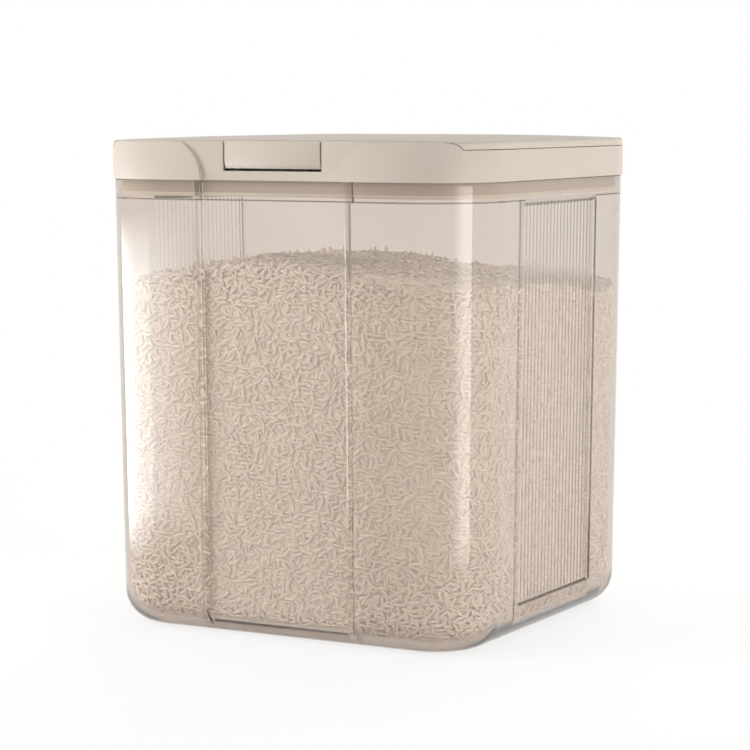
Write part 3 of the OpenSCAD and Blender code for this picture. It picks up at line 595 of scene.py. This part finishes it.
def layGrains(name, places, facing, level, chance, tilt, look="rice"):
    # Grains at places, flat against facing; level is the direction that the grains' spin is measured from
    count = len(places)
    level = unitRows(level - facing * (level * facing).sum(1, keepdims=True))
    other = np.cross(facing, level)
    spin = chance.random(count) * math.pi
    spin -= riceSpec["level"] * np.sin(2 * spin)  # rather more of them lie level than upright
    lean = chance.normal(0, tilt, count)
    long = np.cos(spin)[:, None] * level + np.sin(spin)[:, None] * other
    long = unitRows(long * np.cos(lean)[:, None] + facing * np.sin(lean)[:, None])
    roll = chance.normal(0, riceSpec["roll"], count)
    thick = unitRows(facing - long * (facing * long).sum(1, keepdims=True))
    wide = np.cross(thick, long)
    thick, wide = (np.cos(roll)[:, None] * thick + np.sin(roll)[:, None] * wide,
                   np.cos(roll)[:, None] * wide - np.sin(roll)[:, None] * thick)
    size = chance.uniform(*riceSpec["sizes"], count)[:, None]
    shape, faces = grain
    places = places - facing * (riceSpec["sink"] * np.abs(np.sin(lean)))[:, None]
    points = (places[:, None, :] + shape[None, :, 0, None] * (long * size)[:, None, :]
              + shape[None, :, 1, None] * (wide * size)[:, None, :]
              + shape[None, :, 2, None] * (thick * size)[:, None, :])
    corners = faces[None] + (np.arange(count) * len(shape))[:, None, None]
    mesh = bpy.data.meshes.new(name)
    mesh.vertices.add(count * len(shape))
    mesh.vertices.foreach_set("co", (points * mm).astype(np.float32).ravel())
    mesh.loops.add(corners.size)
    mesh.loops.foreach_set("vertex_index", corners.astype(np.int32).ravel())
    mesh.polygons.add(corners.size // 3)
    mesh.polygons.foreach_set("loop_start", np.arange(0, corners.size, 3, dtype=np.int32))
    mesh.update(calc_edges=True)
    tone = mesh.attributes.new("tone", "FLOAT", "POINT")
    tone.data.foreach_set("value", np.repeat(chance.random(count), len(shape)).astype(np.float32))
    addPiece(mesh, name, look, "container")


def spread(count, start):  # evenly scattered pairs in the unit square, by powers of the plastic number
    steps = np.arange(count) + start
    return [(steps * stride) % 1 for stride in (0.7548776662, 0.5698402910)]


def wallGrains(low, high, perGrain, depth, chance):
    # Grains against the wall between two shares of the way round
    b, spec, middle = bodySpec, riceSpec, riceSpec["midHeight"]
    ring = ringAt(bodyOutline, innerInset(b, bodyMask, middle))
    ring = np.vstack([ring, ring[:1]])
    facing = np.vstack([bodyOutline["outward"], bodyOutline["outward"][:1]])
    pressed = innerInset(b, bodyMask, middle) - drawnIn(b, middle) - b["wall"]
    pressed = np.append(pressed, pressed[0])
    length = np.append(0, np.cumsum(np.linalg.norm(np.diff(ring, axis=0), axis=1)))
    first, last = low * length[-1], high * length[-1]
    count = int((last - first) * spec["countHeight"] / perGrain)
    u, v = spread(count, int(1000 * low))
    s = first + u * (last - first) + chance.normal(0, spec["jitter"], count)
    s = np.mod(s, length[-1])
    z = b["floor"] + spec["overFloor"] + v * spec["wallHeight"]
    x, y = np.interp(s, length, ring[:, 0]), np.interp(s, length, ring[:, 1])
    out = unitRows(np.column_stack([np.interp(s, length, facing[:, 0]), np.interp(s, length, facing[:, 1])]))
    keep = z < heapHeight(spec, x, y) - spec["underTop"]
    s, z, x, y, out = s[keep], z[keep], x[keep], y[keep], out[keep]
    bend = b["foot"] - b["wall"]
    drop = np.clip(1 - (z - b["floor"]) / bend, 0, 1)
    foot = bend * (1 - np.sqrt(1 - drop ** 2))
    push = drawnIn(b, z) - drawnIn(b, middle) + np.maximum(foot - np.interp(s, length, pressed), 0)
    inward = np.column_stack([out * np.sqrt(1 - drop ** 2)[:, None], -drop])
    places = np.column_stack([x - out[:, 0] * push, y - out[:, 1] * push, z])
    deep = depth + chance.random(len(z)) * spec["wallVaries"] + spec["bendDepth"] * drop
    places -= inward * deep[:, None]
    level = np.column_stack([-out[:, 1], out[:, 0], 0 * z])
    return places, inward, level


def heapGrains(perGrain, depth, chance, start):
    halfX, halfY = bodySpec["halfX"] - riceSpec["topInset"], bodySpec["halfY"] - riceSpec["topInset"]
    count = int(4 * halfX * halfY / perGrain)
    u, v = spread(count, start)
    x, y = (2 * u - 1) * halfX, (2 * v - 1) * halfY
    corner, radius = riceSpec["topCorner"]
    overX, overY = np.abs(x) - (halfX - corner), np.abs(y) - (halfY - corner)
    inside = (overX < 0) | (overY < 0) | (overX ** 2 + overY ** 2 < radius ** 2)
    half, face = riceSpec["clearOfRecess"]
    inside &= ~((np.abs(x) < half) & (y < -face))
    half, face = riceSpec["clearOfPanels"]
    inside &= ~((np.abs(y) < half) & (np.abs(x) > face))
    x, y = x[inside], y[inside]
    z = heapHeight(riceSpec, x, y)
    slopeX = heapHeight(riceSpec, x + 1, y) - z
    slopeY = heapHeight(riceSpec, x, y + 1) - z
    up = unitRows(np.column_stack([-slopeX, -slopeY, np.ones(len(z))]))
    places = np.column_stack([x, y, z - depth - chance.random(len(z)) * riceSpec["topVaries"]])
    return places, up, np.tile((1.0, 0.0, 0.0), (len(z), 1))


def baseGrains(perGrain, depth, chance):
    halfX, halfY = riceSpec["baseHalf"]
    cornerX, cornerY, radius = riceSpec["baseCorner"]
    count = int(4 * halfX * halfY / perGrain)
    u, v = spread(count, riceSpec["baseStart"])
    x, y = (2 * u - 1) * halfX, (2 * v - 1) * halfY
    overX, overY = np.abs(x) - cornerX, np.abs(y) - cornerY
    inside = (overX < 0) | (overY < 0) | (overX ** 2 + overY ** 2 < radius ** 2)
    x, y = x[inside], y[inside]
    z = bodySpec["floor"] + depth + chance.random(len(x)) * riceSpec["baseVaries"]
    places = np.column_stack([x, y, z])
    return places, np.tile((0.0, 0.0, -1.0), (len(x), 1)), np.tile((1.0, 0.0, 0.0), (len(x), 1))


grain = grainShape(riceSpec)
chance = np.random.default_rng(riceSpec["seed"])
quarters = {"front": (0.0, 0.26), "right": (0.26, 0.5), "back": (0.5, 0.76), "left": (0.76, 1.0)}
for sideName, (low, high) in quarters.items():
    for layer, (perGrain, depth, tilt) in riceSpec["walls"].items():
        layGrains(f"rice_{sideName}_{layer}", *wallGrains(low, high, perGrain, depth, chance), chance, tilt)
# the top layers take the heap look, whose lighter colour is painted light
for layer, (perGrain, depth, tilt) in enumerate(riceSpec["tops"]):
    spots = heapGrains(perGrain, depth, chance, 300 * layer)
    layGrains(f"rice_top_{layer + 1}", *spots, chance, tilt, "heap")
perGrain, depth, tilt = riceSpec["base"]
layGrains("rice_floor", *baseGrains(perGrain, depth, chance), chance, tilt)


def addDepths(spec):  # the plain body behind the grains
    levels = []
    for z, foot in spec["bodyRings"]:
        levels.append((ringAt(bodyOutline, innerInset(bodySpec, bodyMask, z, foot) + spec["behind"]), z))
    rim = ringAt(bodyOutline, innerInset(bodySpec, bodyMask, spec["bodyTop"]) + spec["behind"])
    for share in spec["bodyShares"]:
        ring = rim * share
        levels.append((ring, heapHeight(spec, ring[:, 0], ring[:, 1]) - spec["bodyUnder"]))
    bm = bmesh.new()
    loft(bm, levels)
    finishPiece(bm, "rice_depths", "depths", "container")


addDepths(riceSpec)
print("rice poured")

# Flip plate
plateSpec = {
    "halfX": 120, "halfY": 114, "radius": 41, "underside": 268.15, "ceiling": 270.0, "rim": 2.2, "top": 272.3,
    "crown": 2.2, "flat": 0.32, "edge": 1.8, "edgeSteps": 6, "front": -104, "rear": 96.4,
    "lip": ((1.4, 0), (0.3, 0), (0.08, 0.08), (0, 0.3), (0, 0.8), (0, 1.9)),  # inset, height over underside
    "shares": (0.99, 0.96, 0.92, 0.86, 0.78, 0.7, 0.6, 0.5, 0.4, 0.3, 0.2, 0.1, 0.04),
    "shade": 32, "join": 1e-4,  # degrees over which an edge is drawn sharp, and how near two corners are one
    "beyondX": 140, "beyondY": 130, "low": 255, "high": 285,  # reach of what cuts the plate
    "barArc": (-108, 263.8), "barHalf": 130, "barRadius": 8.85, "barSegments": 192,
    "hinge": (101, 268.2), "barrel": 4.1, "barrelEase": 0.3, "barrelSegments": 48,
    "barrelRuns": ((-98, -88.4), (-63.6, 63.6), (88.4, 98)),
    "webSide": 0.1, "webBehind": 0.4, "webRise": 0.5, "webUnder": 0.02,
}


def flipPlate(p):
    runs = np.linspace(-80, 80, 33)
    outline = plan(p["halfX"], p["halfY"], p["radius"], runs, np.linspace(-74, 74, 31), runs, 24)
    levels = [(ringAt(outline, p["rim"]), p["ceiling"]), (ringAt(outline, p["rim"]), p["underside"])]
    for inset, z in p["lip"]:
        levels.append((ringAt(outline, inset), p["underside"] + z))
    for step in range(p["edgeSteps"] + 1):
        turn = step / p["edgeSteps"] * math.pi / 2
        inset, deep = p["edge"] * (1 - math.cos(turn)), p["edge"] * (1 - math.sin(turn))
        levels.append((ringAt(outline, inset), p["top"] - deep))
    edge = ringAt(outline, p["edge"])
    for share in p["shares"]:
        rise = min((1 - share) / (1 - p["flat"]), 1)
        levels.append((edge * share, p["top"] + p["crown"] * (1 - (1 - rise) ** 2)))
    bm = bmesh.new()
    loft(bm, levels)
    plate = rawObject(bm, "plate")
    bm = bmesh.new()
    addRod(bm, -p["barHalf"], p["barHalf"], *p["barArc"], p["barRadius"], p["barSegments"])
    carve(plate, rawObject(bm, "cutter"))
    for y0, y1 in ((-p["beyondY"], p["front"]), (p["rear"], p["beyondY"])):
        bm = bmesh.new()
        addBox(bm, (-p["beyondX"], y0, p["low"]), (p["beyondX"], y1, p["high"]))
        carve(plate, rawObject(bm, "cutter"))
    bm = bmesh.new()
    bm.from_mesh(plate.data)
    bpy.data.objects.remove(plate)
    for x0, x1 in p["barrelRuns"]:
        ends = addRod(bm, x0, x1, *p["hinge"], p["barrel"], p["barrelSegments"])
        edges = {e for v in ends for e in v.link_edges}
        caps = [e for e in edges if abs(e.verts[0].co.x - e.verts[1].co.x) < p["join"]]
        bmesh.ops.bevel(bm, geom=caps, offset=p["barrelEase"], segments=2, profile=0.5, affect="EDGES",
                        material=-1)
        addBox(bm, (x0 + p["webSide"], p["rear"] - p["webBehind"], p["hinge"][1] + p["webRise"]),
               (x1 - p["webSide"], p["hinge"][0], p["top"] - p["webUnder"]))
    finishPiece(bm, "flip_plate", "beige_plastic", "flip_lid", ["flip_lid_shell"],
                p["shade"], p["join"])


flipPlate(plateSpec)
print("flip plate made")


# Mouldings: the CAD shapes with their edges eased
easing = {"join": 0.002, "flat": 0.4, "sharp": 32, "segments": 2, "shade": 40}  # angles in degrees


def eased(node, look, body, width):
    bm = bmesh.new()
    bm.from_mesh(nodes[node].data)
    bmesh.ops.scale(bm, vec=(1 / mm, 1 / mm, 1 / mm), verts=bm.verts)
    bmesh.ops.remove_doubles(bm, verts=bm.verts, dist=easing["join"])
    bmesh.ops.dissolve_limit(bm, angle_limit=math.radians(easing["flat"]), verts=bm.verts, edges=bm.edges)
    edges = [e for e in bm.edges if e.is_manifold and e.calc_face_angle(0) > math.radians(easing["sharp"])]
    bmesh.ops.bevel(bm, geom=edges, offset=width, segments=easing["segments"], profile=0.5, affect="EDGES",
                    material=-1, clamp_overlap=False)
    finishPiece(bm, f"{node}_moulding", look, body, [node], easing["shade"])


mouldings = {  # node: the body that it rides on and the width of its eased edges
    "lid_frame": ("lid_frame", 0.25), "inner_collar": ("lid_frame", 0.15),
    "press_button": ("press_button", 0.2), "flip_lid_liner": ("flip_lid", 0.15),
    "lid_striker": ("flip_lid", 0.12), "latch_slider": ("latch_slider", 0.12),
    "latch_housing": ("lid_frame", 0.12),
    "hinge_cover_left": ("lid_frame", 0.1), "hinge_cover_right": ("lid_frame", 0.1),
}
slots = {mark["node"]: mark["material_slot"] for mark in frame["record"]["subparts"]}
for node, (body, width) in mouldings.items():
    eased(node, slots[node], body, width)
print("mouldings eased")

# Springs: fine round wire along the CAD coils
springSpec = {"ringsPerTurn": 28, "sides": 12, "latch": {"turns": 5, "wire": 0.2, "travel": 2.4},
              "torsion": {"turns": 7.25, "wire": 0.4, "coil": 2.65, "lowLeg": 6,
                          "lowStops": (1, 0.6, 0.25, 0.08), "highLeg": 7.64, "bend": 0.7, "bendSteps": 6}}


def wireAlong(bm, path, radius, axis, sides):  # axis is a direction that no stretch of the path runs along
    path = np.array(path, float)
    ways = np.gradient(path, axis=0)
    levels = []
    for point, way in zip(path, ways / np.linalg.norm(ways, axis=1, keepdims=True)):
        across = np.cross(way, axis)
        across /= np.linalg.norm(across)
        over = np.cross(way, across)
        turns = np.arange(sides) * 2 * math.pi / sides
        ring = point + radius * (np.cos(turns)[:, None] * across + np.sin(turns)[:, None] * over)
        levels.append((ring[:, :2], ring[:, 2]))
    loft(bm, levels)


def latchSpring(spec, node):
    low, high = (np.array(corner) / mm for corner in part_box(node))
    middle, wire = (low + high) / 2, spec["latch"]["wire"]
    radius = (high[2] - low[2]) / 2 - wire
    steps = spec["latch"]["turns"] * spec["ringsPerTurn"]
    turn = np.arange(steps + 1) / spec["ringsPerTurn"] * 2 * math.pi
    path = np.column_stack([
        middle[0] + radius * np.cos(turn), np.linspace(low[1] + wire, high[1] - wire, steps + 1),
        middle[2] + radius * np.sin(turn)])
    bm = bmesh.new()
    wireAlong(bm, path, wire, (0, 1, 0), spec["sides"])
    coil = finishPiece(bm, f"{node}_coil", "steel", "lid_frame", [node])
    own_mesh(coil)


def torsionSpring(spec, node, side):
    low, high = (np.array(corner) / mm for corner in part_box(node))
    t = spec["torsion"]
    hinge, coil = plateSpec["hinge"], t["coil"]
    x0, x1 = sorted((abs(low[0]), abs(high[0])))
    steps = int(t["turns"] * spec["ringsPerTurn"])
    turn = np.arange(steps + 1) / spec["ringsPerTurn"] * 2 * math.pi
    path = [(x0 + t["wire"], hinge[0] + t["lowLeg"] * share, hinge[1] - coil) for share in t["lowStops"]]
    path += list(zip(np.linspace(x0 + t["wire"], x1 - t["wire"], steps + 1), hinge[0] - coil * np.sin(turn),
                     hinge[1] - coil * np.cos(turn)))
    bend = coil * t["bend"]
    for step in range(1, t["bendSteps"] + 1):
        way = step / t["bendSteps"] * math.pi / 2
        path.append((x1 - t["wire"], hinge[0] - coil - bend * (1 - math.cos(way)),
                     hinge[1] + coil - bend * (1 - math.sin(way))))
    path.append((x1 - t["wire"], hinge[0] - t["highLeg"], hinge[1] + coil))
    bm = bmesh.new()
    wireAlong(bm, np.array(path) * (side, 1, 1), t["wire"], (1, 0, 0), spec["sides"])
    ends = [Vector((side * x, *hinge)) * mm for x in (x0 + 2 * t["wire"], x1 - 2 * t["wire"])]
    finishPiece(bm, f"{node}_coil", "steel", ("lid_frame", "flip_lid", *ends), [node])


for sideName, side in (("left", -1), ("right", 1)):
    latchSpring(springSpec, f"latch_spring_{sideName}")
    torsionSpring(springSpec, f"torsion_spring_{sideName}", side)
print("springs wound")

# CAD nodes that stay
for mark in frame["record"]["subparts"]:
    data = nodes[mark["node"]].data
    data.materials.clear()
    data.materials.append(looks[mark["material_slot"]])
print("carried-over nodes finished")


# Floor, world and lights
stage = {
    "half": 6, "pale": (0.86, 0.85, 0.84), "dark": (0.84, 0.83, 0.82), "rough": 0.8,
    # share of white seen nearer to the middle than the first distance; beyond the second it is all white
    "near": 0.80, "whiteFrom": 0.2, "whiteTo": 0.7,
    "room": (1.0, 0.97, 0.93), "roomStrength": 0.455,
}


def addStage(spec):
    made = newFinish("floor")
    seen = made.straight()
    matt = made.principled({
        "Base Color": made.blend(made.noise(3.0), spec["pale"], spec["dark"]), "Roughness": spec["rough"]})
    glow = made.node("ShaderNodeEmission", None, {"Color": (1, 1, 1, 1), "Strength": 1.0})
    away = made.node("ShaderNodeVectorMath", {"operation": "LENGTH"}, {0: made.here()}, out="Value")
    white = seen * made.between(away, spec["near"], 1.0, spec["whiteFrom"], spec["whiteTo"])
    shader = made.close(made.node("ShaderNodeMixShader", None, {0: white, 1: matt, 2: glow}))
    bm = bmesh.new()
    bmesh.ops.create_grid(bm, x_segments=1, y_segments=1, size=spec["half"])
    floor = rawObject(bm, "floor")
    floor.data.materials.append(shader)
    world = Finish(bpy.data.worlds.new("studio"))
    room = world.node("ShaderNodeBackground", None, {
        "Color": (*spec["room"], 1), "Strength": spec["roomStrength"]})
    white = world.node("ShaderNodeBackground", None, {"Color": (1, 1, 1, 1), "Strength": 1.0})
    mixed = world.node("ShaderNodeMixShader", None, {0: world.straight(), 1: room, 2: white})
    scene.world = world.close(mixed, "ShaderNodeOutputWorld")


# The lamps called unseen stay out of gloss, and those called gloss show in nothing else: they stand for the
# two bright bands on the corners. Across, up and down fade such a lamp from nothing at the first place on it
# to full at the second, where places run from 0 to 1.
lamps = {
    "key": {"place": (-0.50, -0.50, 0.50), "aim": (0, -0.10, 0.18), "size": (0.4, 0.4), "power": 4.0,
            "colour": (1.0, 0.975, 0.945), "unseen": True},
    "front": {"place": (0.25, -1.70, 0.70), "aim": (0, 0, 0.18), "size": (0.3, 0.3), "power": 0.6,
              "colour": (1.0, 0.975, 0.945)},
    "right": {"place": (0.90, -0.12, 0.42), "aim": (0.10, 0, 0.15), "size": (0.5, 0.5), "power": 4.1,
              "colour": (1.0, 0.975, 0.945), "unseen": True},
    "back": {"place": (0.0, 0.8, 0.36), "aim": (0, 0, 0.22), "size": (0.8, 0.15), "power": 8.5,
             "colour": (1.0, 0.98, 0.955), "unseen": True},
    "strip": {"place": (0.295, -0.169, 0.122), "aim": (0.107, -0.101, 0.122), "size": (0.12, 0.245),
              "power": 0.5, "colour": (1.0, 0.98, 0.96), "gloss": True,
              "across": (0.0, 0.55), "up": (0.0, 0.1), "down": (1.0, 0.97)},
    "veil": {"place": (-0.265, -0.196, 0.1), "aim": (-0.084, -0.111, 0.1), "size": (0.317, 0.28),
             "power": 2.1, "colour": (0.95, 0.975, 1.0), "gloss": True,
             "across": (1.0, 0.84), "up": (0.14, 0.26), "down": (0.93, 0.79)},
}


def addLamps(lamps):
    for name, spec in lamps.items():
        data = bpy.data.lights.new(name, "AREA")
        data.shape, (data.size, data.size_y) = "RECTANGLE", spec["size"]
        data.energy, data.color = spec["power"], spec["colour"]
        if "across" in spec:
            glow = Finish(data)
            spot = glow.node("ShaderNodeNewGeometry", out="Parametric")
            across = glow.node("ShaderNodeSeparateXYZ", None, {0: spot}, out="X")
            up = glow.node("ShaderNodeSeparateXYZ", None, {0: spot}, out="Y")
            level = glow.between(across, 0.0, 1.0, *spec["across"]) * glow.between(up, 0.0, 1.0, *spec["up"])
            level = level * glow.between(up, 0.0, 1.0, *spec["down"])
            glow.close(glow.node("ShaderNodeEmission", None, {"Strength": level}), "ShaderNodeOutputLight")
        lamp = bpy.data.objects.new(name, data)
        aim = Vector(spec["aim"]) - Vector(spec["place"])
        lamp.location, lamp.rotation_euler = spec["place"], aim.to_track_quat("-Z", "Y").to_euler()
        lamp.visible_camera = lamp.visible_transmission = False
        lamp.visible_diffuse = "gloss" not in spec
        lamp.visible_glossy = "unseen" not in spec
        scene.collection.objects.link(lamp)


addStage(stage)
addLamps(lamps)
scene.view_settings.view_transform = "Standard"
print("stage lit")
